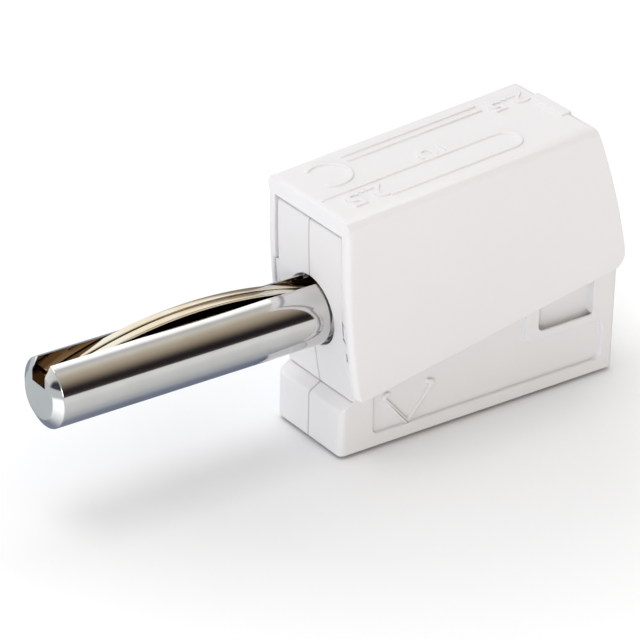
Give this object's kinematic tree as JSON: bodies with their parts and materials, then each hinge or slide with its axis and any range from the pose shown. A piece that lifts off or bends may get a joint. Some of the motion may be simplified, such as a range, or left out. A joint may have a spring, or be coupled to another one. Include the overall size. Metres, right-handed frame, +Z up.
{
  "type": "banana plug",
  "caption": "Slotted plug pin with a bow spring in a white split housing, under a pivoting lever cap that opens a spring clamp for a stripped conductor.",
  "frame": {"origin": "on the pin's axis, at the housing's front face", "axes": "+X the way the pin points, +Y the side that carries the arrow, +Z up from the base"},
  "size_m": [0.037, 0.0076, 0.0166],
  "materials": {
    "shell": "white moulded plastic, fine satin",
    "cap": "white moulded plastic, fine satin",
    "pin": "turned and nickel plated, polished",
    "bow": "gold-coloured spring strip",
    "bus": "tinned strip",
    "clamp": "bent spring steel strip"
  },
  "bodies": {
    "housing": {"housing_left": "shell", "housing_right": "shell", "plug_pin": "pin", "contact_spring": "bow", "busbar": "bus", "clamp_spring": "clamp"},
    "lever": {"lever_cap": "cap"}
  },
  "joints": [
    {"name": "lever_pivot", "type": "hinge", "parent": "housing", "child": "lever", "pos_m": [-0.00225, 0, 0], "axis": [0, -1, 0], "range_deg": [0, 10], "stiffness_Nm_per_rad": 0.008, "springref_deg": -2.86, "deforming": ["clamp_spring"]}
  ]
}
